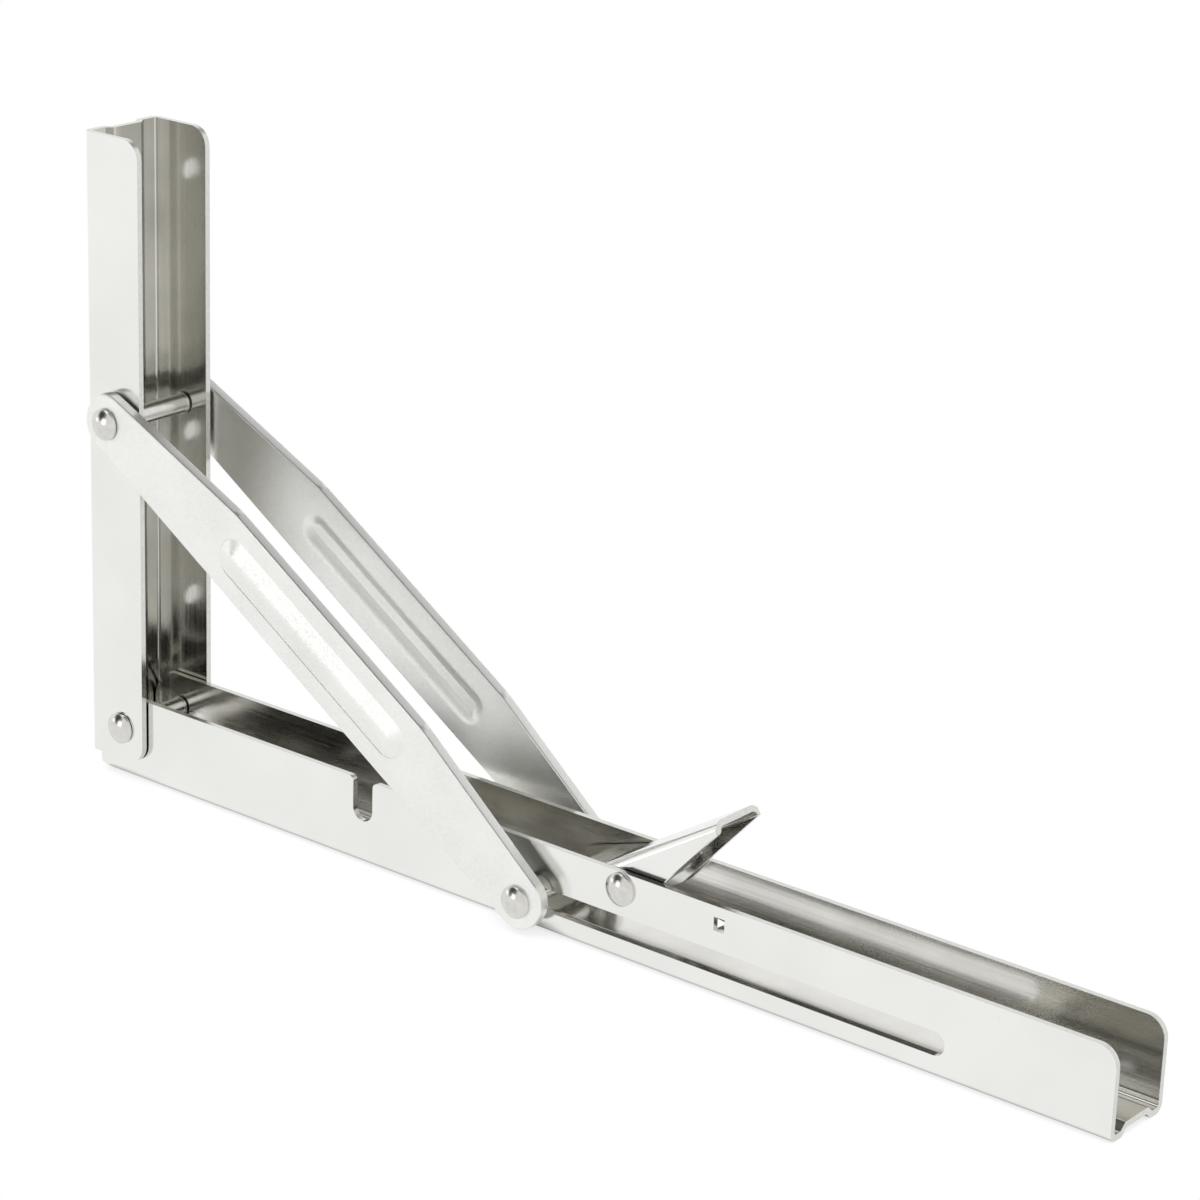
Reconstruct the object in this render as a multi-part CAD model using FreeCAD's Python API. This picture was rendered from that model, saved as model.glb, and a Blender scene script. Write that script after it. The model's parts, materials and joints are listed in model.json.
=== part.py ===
import FreeCAD, Part
import math
import os
from FreeCAD import Vector

# A folding shelf and drop leaf bracket, stood as it is sold: the leaf arm lies with its screw face down and
# the wall arm stands up from its left end. X runs along the leaf arm away from the wall, Y across, Z up.

# Arms: two channels of folded sheet, the leaf arm nesting inside the wall arm
ARM_SHEET = 1.5
LEAF_LENGTH = 300.0
LEAF_WIDTH = 20.6
LEAF_HEIGHT = 21.8
WALL_LENGTH = 159.5
WALL_DEPTH = 18.5
NESTING_GAP = 0.4
BEND_RADIUS = 2.2
CORNER_RADIUS = 4.8
HEEL_RADIUS = 2.6

# The raised panel pressed along the middle of both webs
PANEL_HEIGHT = 1.6
PANEL_HALF_WIDTH = 4.0
PANEL_SLOPE = 1.8
PANEL_EDGE_RADIUS = 1.1

# Places of the four pivots, from the wall face and from the leaf arm's screw face
MAIN_PIVOT_BACK = 11.0
MAIN_PIVOT_HEIGHT = 13.5
WALL_FOOT_HEIGHT = 5.2
STRUT_PIVOT_BACK = 10.5
STRUT_PIVOT_HEIGHT = 94.0
SLIDE_START = 144.5
SLOT_HEIGHT = 8.2
LEVER_PIVOT_REACH = 170.6
LEVER_PIVOT_HEIGHT = 17.6

# Pins, rivets and washers
PIN_RADIUS = 2.5
HEAD_RADIUS = 4.0
HEAD_HEIGHT = 2.0
HEAD_RIM = 0.6
RUNNING_GAP = 0.06
FACE_GAP = 0.15
WASHER_RADIUS = 4.6

# Slots, notches and screw holes
SLOT_WIDTH = 5.7
SLOT_SPARE = 6.5
NOTCH_WIDTH = 6.2
NOTCH_FLOOR_GAP = 0.4
NOTCH_LIP_RADIUS = 1.4
SCREW_HOLE_RADIUS = 2.75
WALL_SCREWS_FROM_FOOT = (33.2, 77.4)
WALL_SCREW_FROM_TOP = 14.4
LEAF_SCREWS_FROM_START = (45.0, 120.0)
LEAF_SCREWS_FROM_END = (38.0, 14.0)

# The lanced tab in the near flange that the spring's long leg bears on
TAB_WIDTH = 3.0
TAB_LENGTH = 3.3
TAB_REACH = 26.6
TAB_SHEET = 1.0

# Struts
STRUT_SHEET = 3.0
STRUT_GAP = 0.7
STRUT_END_RADIUS = 6.8
STRUT_CORNER_EASE = 0.7
STRUT_BACK_WIDTH = 13.0
STRUT_SHOULDER = 44.0
STRUT_SHOULDER_RADIUS = 14.0
RIB_START = 44.8
RIB_LENGTH = 69.5
RIB_HALF_WIDTH = 5.0
RIB_CREST_HALF_WIDTH = 0.9
GROOVE_FLOOR_HALF_WIDTH = 1.45
RIB_HEIGHT = 1.25
RIB_SOFT_RADIUS = 5.0

# Release lever, drawn along its sloping top plate from its pivot
LEVER_SHEET = 1.5
LEVER_SIDE_GAP = 0.5
LEVER_ANGLE = 32.0
LEVER_RISE = 6.7
LEVER_DROP = 4.5
LEVER_REACH = 32.0
LEVER_BACK = 4.5
LEVER_TIP_DEPTH = 2.8
LEVER_HEEL = 2.6
LEVER_HEEL_RADIUS = 5.0
LEVER_BEND_RADIUS = 3.0
PAD_CORNER_RADIUS = 1.0
PAD_TIP_RADIUS = 0.8
NOSE_DEPTH = 4.0
NOSE_PIN_GAP = 0.54
NOSE_LIFT = 0.65
NOSE_TOP_RADIUS = 1.0
NOSE_TIP_RADIUS = 0.6
NOSE_THROAT_RADIUS = 2.0

# Lever spring
WIRE_RADIUS = 0.5
COIL_RADIUS = 3.6
COIL_PITCH = 1.2
COIL_TURNS = 3
WIRE_GAP = 0.3
LONG_LEG_DIP = 9.4
SHORT_LEG_LIFT = 46.0
SHORT_LEG_LENGTH = 19.0

# What follows from the sizes above
WALL_WIDTH = LEAF_WIDTH + 2 * (NESTING_GAP + ARM_SHEET)
LEAF_START = ARM_SHEET + NESTING_GAP
LEAF_END = LEAF_START + LEAF_LENGTH
WALL_SCREW_PLACES = WALL_SCREWS_FROM_FOOT + (WALL_LENGTH - WALL_SCREW_FROM_TOP,)
LEAF_SCREW_PLACES = LEAF_SCREWS_FROM_START + tuple(LEAF_LENGTH - place for place in LEAF_SCREWS_FROM_END)
CENTRE_X = LEAF_END / 2
MAIN_PIVOT = Vector(MAIN_PIVOT_BACK - CENTRE_X, 0, MAIN_PIVOT_HEIGHT)
STRUT_PIVOT = Vector(STRUT_PIVOT_BACK - CENTRE_X, 0, STRUT_PIVOT_HEIGHT)
SLIDE_PIVOT = Vector(SLIDE_START - CENTRE_X, 0, SLOT_HEIGHT)
LEVER_PIVOT = Vector(LEVER_PIVOT_REACH - CENTRE_X, 0, LEVER_PIVOT_HEIGHT)
STRUT_LINE = SLIDE_PIVOT - STRUT_PIVOT
STRUT_SPAN = STRUT_LINE.Length
STRUT_INNER = WALL_WIDTH / 2 + STRUT_GAP
STRUT_OUTER = STRUT_INNER + STRUT_SHEET

# Where the strut pivot and the slide pin lie once the wall arm has folded down by a quarter turn
FOLDED_STRUT_PIVOT = MAIN_PIVOT + Vector(STRUT_PIVOT.z - MAIN_PIVOT.z, 0, MAIN_PIVOT.x - STRUT_PIVOT.x)
FOLDED_RUN = math.sqrt(STRUT_SPAN ** 2 - (FOLDED_STRUT_PIVOT.z - SLOT_HEIGHT) ** 2)
FOLDED_SLIDE_X = FOLDED_STRUT_PIVOT.x + FOLDED_RUN

ALONG_Y = Vector(0, 1, 0)
SAME_PLACE = 1e-6


def rounded_wire(corners, place):
    """Closed wire through (a, b, radius) corners, each rounded by an arc; place maps (a, b) to space."""
    count = len(corners)
    starts = []
    ends = []
    middles = []
    for i in range(count):
        a, b, radius = corners[i]
        corner = Vector(a, b, 0)
        back = Vector(*corners[i - 1][:2], 0) - corner
        ahead = Vector(*corners[(i + 1) % count][:2], 0) - corner
        half = back.getAngle(ahead) / 2
        back.normalize()
        ahead.normalize()
        setback = radius / math.tan(half)
        starts.append(corner + back * setback)
        ends.append(corner + ahead * setback)
        inward = back + ahead
        if radius > 0:
            inward.normalize()
        middles.append(corner + inward * (radius / math.sin(half) - radius))
    edges = []
    for i in range(count):
        if corners[i][2] > 0:
            edges.append(Part.Arc(place(starts[i]), place(middles[i]), place(ends[i])).toShape())
        following = starts[(i + 1) % count]
        if (following - ends[i]).Length > SAME_PLACE:
            edges.append(Part.LineSegment(place(ends[i]), place(following)).toShape())
    return Part.Wire(edges)


def side_plate(corners, y_low, y_high):
    """Plate of a rounded outline in the XZ plane, from y_low to y_high."""
    wire = rounded_wire(corners, lambda p: Vector(p.x, y_low, p.y))
    return Part.Face(wire).extrude(Vector(0, y_high - y_low, 0))


def cross_pin(centre, radius, half_length):
    """Plain round pin across the part."""
    return Part.makeCylinder(radius, 2 * half_length, centre - ALONG_Y * half_length, ALONG_Y)


def channel_corners(width, depth):
    """Section of an arm: flanges, bends and the raised panel, as (across, up from the screw face, radius)."""
    half = width / 2
    sheet = ARM_SHEET
    inner_bend = BEND_RADIUS - sheet
    slope_angle = math.atan2(PANEL_HEIGHT, PANEL_SLOPE)
    shift = sheet * math.tan(slope_angle / 2)
    foot = PANEL_HALF_WIDTH + PANEL_SLOPE
    top = PANEL_HALF_WIDTH
    edge = PANEL_EDGE_RADIUS
    right_side = [
        (top, PANEL_HEIGHT, edge),
        (foot, 0, edge),
        (half, 0, BEND_RADIUS),
        (half, depth, 0),
        (half - sheet, depth, 0),
        (half - sheet, sheet, inner_bend),
        (foot + shift, sheet, edge),
        (top + shift, PANEL_HEIGHT + sheet, edge),
    ]
    left_side = [(-across, up, radius) for across, up, radius in reversed(right_side)]
    return right_side + left_side


def leaf_channel():
    """The leaf arm's bent sheet before its holes are cut."""
    start = LEAF_START - CENTRE_X
    end = LEAF_END - CENTRE_X
    section = rounded_wire(channel_corners(LEAF_WIDTH, LEAF_HEIGHT), lambda p: Vector(start, p.x, p.y))
    sheet = Part.Face(section).extrude(Vector(LEAF_LENGTH, 0, 0))
    turning_radius = MAIN_PIVOT.x - start
    silhouette = side_plate(
        [
            (start, 0, HEEL_RADIUS),
            (end, 0, 0),
            (end, LEAF_HEIGHT, CORNER_RADIUS),
            (start, LEAF_HEIGHT, 0),
        ],
        -LEAF_WIDTH,
        LEAF_WIDTH,
    )
    behind_pivot = Part.makeBox(
        turning_radius, 2 * LEAF_WIDTH, LEAF_HEIGHT, Vector(start, -LEAF_WIDTH, MAIN_PIVOT.z)
    )
    round_end = cross_pin(MAIN_PIVOT, turning_radius, LEAF_WIDTH)
    return sheet.common(silhouette.cut(behind_pivot.cut(round_end)))


def slot_cut():
    """Long slot through both flanges for the slide pin."""
    half = SLOT_WIDTH / 2
    left = SLIDE_PIVOT.x - half
    right = FOLDED_SLIDE_X + SLOT_SPARE + half
    low = SLOT_HEIGHT - half
    high = SLOT_HEIGHT + half
    corners = [(left, low, half), (right, low, half), (right, high, half), (left, high, half)]
    return side_plate(corners, -LEAF_WIDTH, LEAF_WIDTH)


def notch_cut():
    """Notch in both flange tops that takes the strut pivot rivet when the bracket is folded."""
    half = NOTCH_WIDTH / 2
    middle = FOLDED_STRUT_PIVOT.x
    floor = FOLDED_STRUT_PIVOT.z - PIN_RADIUS - NOTCH_FLOOR_GAP
    lip = NOTCH_LIP_RADIUS
    top = LEAF_HEIGHT
    above = top + LEAF_HEIGHT
    wide = half + 2 * lip
    corners = [
        (middle - half, floor, half),
        (middle + half, floor, half),
        (middle + half, top, lip),
        (middle + wide, top, 0),
        (middle + wide, above, 0),
        (middle - wide, above, 0),
        (middle - wide, top, 0),
        (middle - half, top, lip),
    ]
    return side_plate(corners, -LEAF_WIDTH, LEAF_WIDTH)


def long_leg_height(reach):
    """Height of the spring's long leg, at its middle, a given reach beyond the lever pivot."""
    dip = math.radians(LONG_LEG_DIP)
    return LEVER_PIVOT.z + COIL_RADIUS / math.cos(dip) - reach * math.tan(dip)


def lanced_tab():
    """The window cut in the near flange and the tab that is bent inwards from its lower edge."""
    left = LEVER_PIVOT.x + TAB_REACH
    seat = long_leg_height(TAB_REACH + TAB_WIDTH) - WIRE_RADIUS / math.cos(math.radians(LONG_LEG_DIP))
    outer = -LEAF_WIDTH / 2
    window = Part.makeBox(TAB_WIDTH, ARM_SHEET, TAB_LENGTH, Vector(left, outer, seat))
    tab = Part.makeBox(TAB_WIDTH, ARM_SHEET + TAB_LENGTH, TAB_SHEET, Vector(left, outer, seat - TAB_SHEET))
    return window, tab


def leaf_arm():
    """The long arm: channel with slots, notches, rivet and screw holes, and the spring's tab."""
    window, tab = lanced_tab()
    holes = [slot_cut(), notch_cut(), window]
    holes.append(cross_pin(MAIN_PIVOT, PIN_RADIUS, LEAF_WIDTH))
    holes.append(cross_pin(LEVER_PIVOT, PIN_RADIUS, LEAF_WIDTH))
    for place in LEAF_SCREW_PLACES:
        mouth = Vector(LEAF_START + place - CENTRE_X, 0, -PANEL_HEIGHT)
        holes.append(Part.makeCylinder(SCREW_HOLE_RADIUS, LEAF_HEIGHT, mouth))
    return leaf_channel().cut(holes).fuse(tab).removeSplitter()


def wall_arm():
    """The short standing arm, wide enough for the leaf arm to fold into it."""
    back = -CENTRE_X
    foot = WALL_FOOT_HEIGHT
    top = foot + WALL_LENGTH
    front = back + WALL_DEPTH
    section = rounded_wire(channel_corners(WALL_WIDTH, WALL_DEPTH), lambda p: Vector(back + p.y, p.x, foot))
    sheet = Part.Face(section).extrude(Vector(0, 0, WALL_LENGTH))
    silhouette = side_plate(
        [(back, foot, 0), (front, foot, CORNER_RADIUS), (front, top, CORNER_RADIUS), (back, top, 0)],
        -WALL_WIDTH,
        WALL_WIDTH,
    )
    holes = [
        cross_pin(MAIN_PIVOT, PIN_RADIUS + RUNNING_GAP, WALL_WIDTH),
        cross_pin(STRUT_PIVOT, PIN_RADIUS, WALL_WIDTH),
    ]
    for place in WALL_SCREW_PLACES:
        mouth = Vector(back - PANEL_HEIGHT, 0, foot + place)
        holes.append(Part.makeCylinder(SCREW_HOLE_RADIUS, WALL_DEPTH, mouth, Vector(1, 0, 0)))
    return sheet.common(silhouette).cut(holes)


def strut_place(along, off, y):
    """Point on a strut: along its pivot line from the wall arm, off that line towards its wide back."""
    line = Vector(STRUT_LINE)
    line.normalize()
    back = Vector(-line.z, 0, line.x)
    return STRUT_PIVOT + line * along + back * off + ALONG_Y * y


def strut_plate(corners, y_low, y_high):
    """Plate of a rounded outline given along and off the strut's pivot line."""
    wire = rounded_wire(corners, lambda p: strut_place(p.x, p.y, y_low))
    return Part.Face(wire).extrude(ALONG_Y * (y_high - y_low))


def rib_wire(half_width, y):
    """Round-ended outline of the pressed rib at one depth."""
    middle = (STRUT_BACK_WIDTH - STRUT_END_RADIUS) / 2
    inset = RIB_HALF_WIDTH - half_width
    low = RIB_START + inset
    high = RIB_START + RIB_LENGTH - inset
    corners = [
        (low, middle - half_width, half_width),
        (high, middle - half_width, half_width),
        (high, middle + half_width, half_width),
        (low, middle + half_width, half_width),
    ]
    return rounded_wire(corners, lambda p: strut_place(p.x, p.y, y))


def rib(crest_half_width, y_base, y_crest):
    """Round-ended rib with sloping sides, before its edges are softened."""
    return Part.makeLoft([rib_wire(RIB_HALF_WIDTH, y_base), rib_wire(crest_half_width, y_crest)], True, True)


def rib_edges(shape, depths):
    """Edges that the pressed rib leaves at the given depths, all of them clear of the strut's outline."""
    edges = []
    for y in depths:
        wire = rib_wire(RIB_HALF_WIDTH, y)
        for edge in shape.Edges:
            box = edge.BoundBox
            flat = abs(box.YMin - y) < SAME_PLACE and abs(box.YMax - y) < SAME_PLACE
            if flat and Part.Face(wire).distToShape(edge)[0] < SAME_PLACE:
                edges.append(edge)
    return edges


def strut(side):
    """One strut; side is -1 for the near one and 1 for the far one."""
    end = STRUT_END_RADIUS
    back = STRUT_BACK_WIDTH
    soft = STRUT_SHOULDER_RADIUS
    eased = end - STRUT_CORNER_EASE
    corners = [
        (-end, -end, end),
        (STRUT_SPAN + end, -end, end),
        (STRUT_SPAN + end, end, eased),
        (STRUT_SPAN - STRUT_SHOULDER, back, soft),
        (STRUT_SHOULDER, back, soft),
        (-end, end, eased),
    ]
    inner = side * STRUT_INNER
    outer = side * STRUT_OUTER
    plate = strut_plate(corners, inner, outer)
    crest = outer + side * RIB_HEIGHT
    raised = rib(RIB_CREST_HALF_WIDTH, outer, crest)
    groove = rib(GROOVE_FLOOR_HALF_WIDTH, inner, inner + side * RIB_HEIGHT)
    pressed = plate.fuse(raised).cut(groove)
    pressed = pressed.makeFillet(RIB_SOFT_RADIUS, rib_edges(pressed, (inner, crest)))
    pivot_hole = cross_pin(STRUT_PIVOT, PIN_RADIUS + RUNNING_GAP, 2 * STRUT_OUTER)
    slide_hole = cross_pin(SLIDE_PIVOT, PIN_RADIUS, 2 * STRUT_OUTER)
    return pressed.cut([pivot_hole, slide_hole])


def half_rivet(start, face):
    """Rivet turned about Y: a plain shank from start to face, where a low domed head is seated."""
    rim = face + HEAD_RIM
    crown = face + HEAD_HEIGHT
    dome_rise = crown - rim
    dome_radius = (HEAD_RADIUS ** 2 + dome_rise ** 2) / (2 * dome_rise)
    lean = math.asin(HEAD_RADIUS / dome_radius) / 2
    on_dome = Vector(dome_radius * math.sin(lean), crown - dome_radius * (1 - math.cos(lean)), 0)
    outline = [
        Vector(0, start, 0),
        Vector(PIN_RADIUS, start, 0),
        Vector(PIN_RADIUS, face, 0),
        Vector(HEAD_RADIUS, face, 0),
        Vector(HEAD_RADIUS, rim, 0),
    ]
    edges = [Part.makeLine(a, b) for a, b in zip(outline, outline[1:])]
    edges.append(Part.Arc(outline[-1], on_dome, Vector(0, crown, 0)).toShape())
    edges.append(Part.makeLine(Vector(0, crown, 0), outline[0]))
    return Part.Face(Part.Wire(edges)).revolve(Vector(0, 0, 0), ALONG_Y, 360)


def mirrored(shape):
    """The same shape on the other side of the middle plane."""
    return shape.mirror(Vector(0, 0, 0), ALONG_Y)


def through_rivet(centre, face):
    """Rivet with a head on each side of the part, seated at face from the middle plane."""
    half = half_rivet(0, face)
    rivet = half.fuse(mirrored(half)).removeSplitter()
    rivet.translate(centre)
    return rivet


def slide_rivet(side):
    """The riveted end of the slide pin, held in a strut."""
    rivet = half_rivet(STRUT_INNER, STRUT_OUTER)
    if side < 0:
        rivet = mirrored(rivet)
    rivet.translate(SLIDE_PIVOT)
    return rivet


def slide_pin():
    """Plain pin across the slots, just short of the struts."""
    return cross_pin(SLIDE_PIVOT, PIN_RADIUS, STRUT_INNER - FACE_GAP)


def slide_washer(side):
    """Spacer ring between a strut and the leaf arm's flange."""
    low = LEAF_WIDTH / 2 + FACE_GAP
    high = STRUT_INNER - FACE_GAP
    start = SLIDE_PIVOT + ALONG_Y * (side * low)
    ring = Part.makeCylinder(WASHER_RADIUS, high - low, start, ALONG_Y * side)
    return ring.cut(cross_pin(SLIDE_PIVOT, PIN_RADIUS, 2 * STRUT_OUTER))


def lever_place(along, up, y=0.0):
    """Point on the lever, along and square to its top plate from the lever pivot."""
    angle = math.radians(LEVER_ANGLE)
    x = along * math.cos(angle) - up * math.sin(angle)
    z = along * math.sin(angle) + up * math.cos(angle)
    return LEVER_PIVOT + Vector(x, y, z)


def lever_corner(along, up, radius):
    """Corner of the lever's side view, given along and square to its top plate."""
    point = lever_place(along, up)
    return (point.x, point.z, radius)


def nose_corner(height, radius):
    """Corner of the latch nose: as far from the lever pivot as the slide pin at rest allows."""
    reach = (SLIDE_PIVOT - LEVER_PIVOT).Length - PIN_RADIUS - NOSE_PIN_GAP
    x = LEVER_PIVOT.x - math.sqrt(reach ** 2 - (LEVER_PIVOT.z - height) ** 2)
    return (x, height, radius)


def lever_run(half_width, top, bend, along_low, along_high):
    """Block under the lever's top plate, with its two upper edges rounded as the sheet bends."""
    bottom = -LEVER_REACH
    corners = [
        (-half_width, bottom, 0),
        (half_width, bottom, 0),
        (half_width, top, bend),
        (-half_width, top, bend),
    ]
    wire = rounded_wire(corners, lambda p: lever_place(along_low, p.y, p.x))
    return Part.Face(wire).extrude(lever_place(along_high, 0) - lever_place(along_low, 0))


def lever_outline():
    """Side view of the lever: thumb pad, top plate, latch nose over the slide pin, heel round the rivet."""
    nose_low = SLOT_HEIGHT + PIN_RADIUS + NOSE_LIFT
    angle = math.radians(LEVER_ANGLE)
    heel_along = (nose_low - LEVER_PIVOT.z + LEVER_DROP * math.cos(angle)) / math.sin(angle)
    return [
        lever_corner(LEVER_REACH, LEVER_RISE, 0),
        lever_corner(-LEVER_BACK, LEVER_RISE, 0),
        nose_corner(nose_low + NOSE_DEPTH, NOSE_TOP_RADIUS),
        nose_corner(nose_low, NOSE_TIP_RADIUS),
        lever_corner(heel_along, -LEVER_DROP, NOSE_THROAT_RADIUS),
        lever_corner(LEVER_HEEL, -LEVER_DROP, LEVER_HEEL_RADIUS),
        lever_corner(LEVER_REACH, LEVER_RISE - LEVER_TIP_DEPTH, PAD_TIP_RADIUS),
    ]


def release_lever():
    """Thumb lever folded from one sheet: a top plate between two side plates that end in latch prongs."""
    half = LEAF_WIDTH / 2 - ARM_SHEET - LEVER_SIDE_GAP
    inner_half = half - LEVER_SHEET
    inner_bend = LEVER_BEND_RADIUS - LEVER_SHEET
    beyond = 2 * LEVER_REACH
    outside = lever_run(half, LEVER_RISE, LEVER_BEND_RADIUS, -LEVER_BACK, beyond)
    nose_room = lever_run(half, beyond, 0, -beyond, -LEVER_BACK)
    inside = lever_run(inner_half, LEVER_RISE - LEVER_SHEET, inner_bend, -LEVER_BACK, beyond)
    between_prongs = lever_run(inner_half, beyond, 0, -beyond, -LEVER_BACK)
    plan = [
        (-beyond, -half, 0),
        (LEVER_REACH, -half, PAD_CORNER_RADIUS),
        (LEVER_REACH, half, PAD_CORNER_RADIUS),
        (-beyond, half, 0),
    ]
    plan_wire = rounded_wire(plan, lambda p: lever_place(p.x, -beyond, p.y))
    plan_block = Part.Face(plan_wire).extrude(lever_place(0, beyond) - lever_place(0, -beyond))
    block = side_plate(lever_outline(), -half, half).common(outside.fuse(nose_room)).common(plan_block)
    pivot_hole = cross_pin(LEVER_PIVOT, PIN_RADIUS + RUNNING_GAP, half)
    return block.cut([inside, between_prongs, pivot_hole]).removeSplitter()


def coil_point(angle, y):
    """Point on the spring coil's middle line, at an angle from +X towards +Z about the lever pivot."""
    return LEVER_PIVOT + Vector(COIL_RADIUS * math.cos(angle), y, COIL_RADIUS * math.sin(angle))


def lever_spring():
    """Torsion spring: long leg on the lanced tab, coil round the rivet, short leg under the top plate."""
    leg_y = -(LEAF_WIDTH / 2 - ARM_SHEET - LEVER_SIDE_GAP - LEVER_SHEET - WIRE_GAP - WIRE_RADIUS)
    long_angle = math.radians(90 - LONG_LEG_DIP)
    short_angle = math.radians(270 + SHORT_LEG_LIFT)
    turn = 2 * math.pi * COIL_TURNS + short_angle - long_angle
    width = COIL_PITCH * turn / (2 * math.pi)
    coil = Part.makeHelix(COIL_PITCH, width, COIL_RADIUS, 0, True)
    coil.rotate(Vector(0, 0, 0), Vector(1, 0, 0), -90)
    coil.rotate(Vector(0, 0, 0), ALONG_Y, -math.degrees(long_angle))
    coil.translate(LEVER_PIVOT + ALONG_Y * leg_y)
    long_foot = coil_point(long_angle, leg_y)
    long_run = Vector(math.sin(long_angle), 0, -math.cos(long_angle))
    long_end = long_foot + long_run * ((TAB_REACH + TAB_WIDTH) / long_run.x)
    short_foot = coil_point(short_angle, leg_y + width)
    short_run = Vector(-math.sin(short_angle), 0, math.cos(short_angle))
    short_end = short_foot + short_run * SHORT_LEG_LENGTH
    legs = [Part.makeLine(long_end, long_foot), Part.makeLine(short_foot, short_end)]
    path = Part.Wire([legs[0]] + coil.Edges + [legs[1]])
    section = Part.Wire(Part.makeCircle(WIRE_RADIUS, long_end, long_run))
    return path.makePipeShell([section], True, True)


def write(name, shape):
    """Save one piece as a STEP file under its own name."""
    if not shape.isValid():
        raise ValueError(name + " is not a valid solid")
    shape.exportStep("parts/" + name + ".step")


def main():
    os.makedirs("parts", exist_ok=True)
    write("leaf_arm", leaf_arm())
    write("wall_arm", wall_arm())
    write("near_strut", strut(-1))
    write("far_strut", strut(1))
    write("release_lever", release_lever())
    write("main_pivot_rivet", through_rivet(MAIN_PIVOT, WALL_WIDTH / 2 + FACE_GAP))
    write("strut_pivot_rivet", through_rivet(STRUT_PIVOT, STRUT_OUTER + FACE_GAP))
    write("lever_rivet", through_rivet(LEVER_PIVOT, LEAF_WIDTH / 2))
    write("lever_spring", lever_spring())
    write("slide_pin", slide_pin())
    write("near_slide_rivet", slide_rivet(-1))
    write("far_slide_rivet", slide_rivet(1))
    write("near_slide_washer", slide_washer(-1))
    write("far_slide_washer", slide_washer(1))


main()
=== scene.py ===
"""A folding drop leaf bracket in rolled, blasted and tumbled steel, on a white studio floor."""
import json
import math

import bmesh
import bpy
from mathutils import Matrix, Vector

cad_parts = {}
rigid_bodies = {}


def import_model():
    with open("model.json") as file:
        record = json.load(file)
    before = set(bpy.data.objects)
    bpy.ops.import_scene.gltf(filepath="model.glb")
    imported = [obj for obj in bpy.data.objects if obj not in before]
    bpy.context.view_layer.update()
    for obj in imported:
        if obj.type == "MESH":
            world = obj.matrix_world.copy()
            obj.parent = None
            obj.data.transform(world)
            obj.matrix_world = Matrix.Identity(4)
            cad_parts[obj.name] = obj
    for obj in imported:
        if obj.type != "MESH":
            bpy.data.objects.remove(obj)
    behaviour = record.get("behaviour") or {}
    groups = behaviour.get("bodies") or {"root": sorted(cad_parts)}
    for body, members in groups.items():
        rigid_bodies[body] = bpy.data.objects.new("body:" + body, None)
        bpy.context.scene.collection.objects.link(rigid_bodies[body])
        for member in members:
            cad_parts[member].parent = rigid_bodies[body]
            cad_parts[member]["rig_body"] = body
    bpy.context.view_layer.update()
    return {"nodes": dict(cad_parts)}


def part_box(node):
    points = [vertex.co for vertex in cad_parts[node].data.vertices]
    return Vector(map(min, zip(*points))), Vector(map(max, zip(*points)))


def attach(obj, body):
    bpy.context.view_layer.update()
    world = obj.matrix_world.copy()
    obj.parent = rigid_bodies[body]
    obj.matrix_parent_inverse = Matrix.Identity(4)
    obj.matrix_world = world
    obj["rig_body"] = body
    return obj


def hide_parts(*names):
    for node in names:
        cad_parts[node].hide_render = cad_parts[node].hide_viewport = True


bl_info = {
    "name": "Drop Leaf Bracket",
    "version": (1, 0, 0),
    "blender": (4, 5, 0),
    "location": "View3D > Sidebar > Bracket",
    "description": "Models the folding bracket's arms, struts, rivets and spring over its frame",
    "category": "Object",
}

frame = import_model()

MM = 0.001
WELD = 0.005 * MM
FLAT_ANGLE = math.radians(0.6)
SHARP_ANGLE = math.radians(38)
ALONG_Y = Vector((0, 1, 0))

# How finely curves are drawn: steps along a curve, or sides round a circle.
EDGE_STEPS = 3
PIN_EDGE_STEPS = 2
CORNER_STEPS = 10
DOME_STEPS = 9
CREST_STEPS = 6
GROOVE_STEPS = 9
HOLE_SIDES = 32
TURNED_SIDES = 56
WIRE_SIDES = 14
COIL_STEP = math.radians(9)

# Places of a folded sheet's three finishes among its materials.
OUTSIDE = 0
INSIDE = 1
SHEARED = 2

# The Mix node's sockets, which share their names and so go by number.
SHARE = 0
NUMBER_A = 2
NUMBER_B = 3
MIXED_NUMBER = 0
COLOUR_A = 6
COLOUR_B = 7
MIXED_COLOUR = 2


def centre_of(node):
    """Middle of a frame node's box."""
    low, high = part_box(node)
    return (low + high) / 2


def linear(colour_hex):
    """Linear colour of an sRGB hex value."""
    channels = []
    for i in (1, 3, 5):
        value = int(colour_hex[i:i + 2], 16) / 255
        channels.append(value / 12.92 if value <= 0.04045 else ((value + 0.055) / 1.055) ** 2.4)
    return (*channels, 1.0)


def length_setting(name, description, millimetres):
    """A length property, given in millimetres."""
    return bpy.props.FloatProperty(
        name=name, description=description, default=millimetres * MM, unit="LENGTH", precision=5
    )


def colour_setting(name, description, colour_hex):
    """A colour property, given as an sRGB hex value."""
    return bpy.props.FloatVectorProperty(
        name=name,
        description=description,
        default=linear(colour_hex),
        subtype="COLOR",
        size=4,
        min=0.0,
        max=1.0,
    )


def angle_setting(name, description, degrees):
    """An angle property, given in degrees."""
    return bpy.props.FloatProperty(
        name=name, description=description, default=math.radians(degrees), subtype="ANGLE"
    )


class SheetSettings(bpy.types.PropertyGroup):
    """Sizes of the folded sheet arms and lever."""

    sheet: length_setting("Sheet", "Thickness of the folded sheet", 1.5)
    edge_round: length_setting("Edge rounding", "Width of the rounding on the sheared edges", 0.28)
    lever_slope: angle_setting("Lever slope", "Slope of the lever's top plate", 32.0)
    lever_rise: length_setting("Lever rise", "Top plate's height square above the lever pivot", 6.7)


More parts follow.
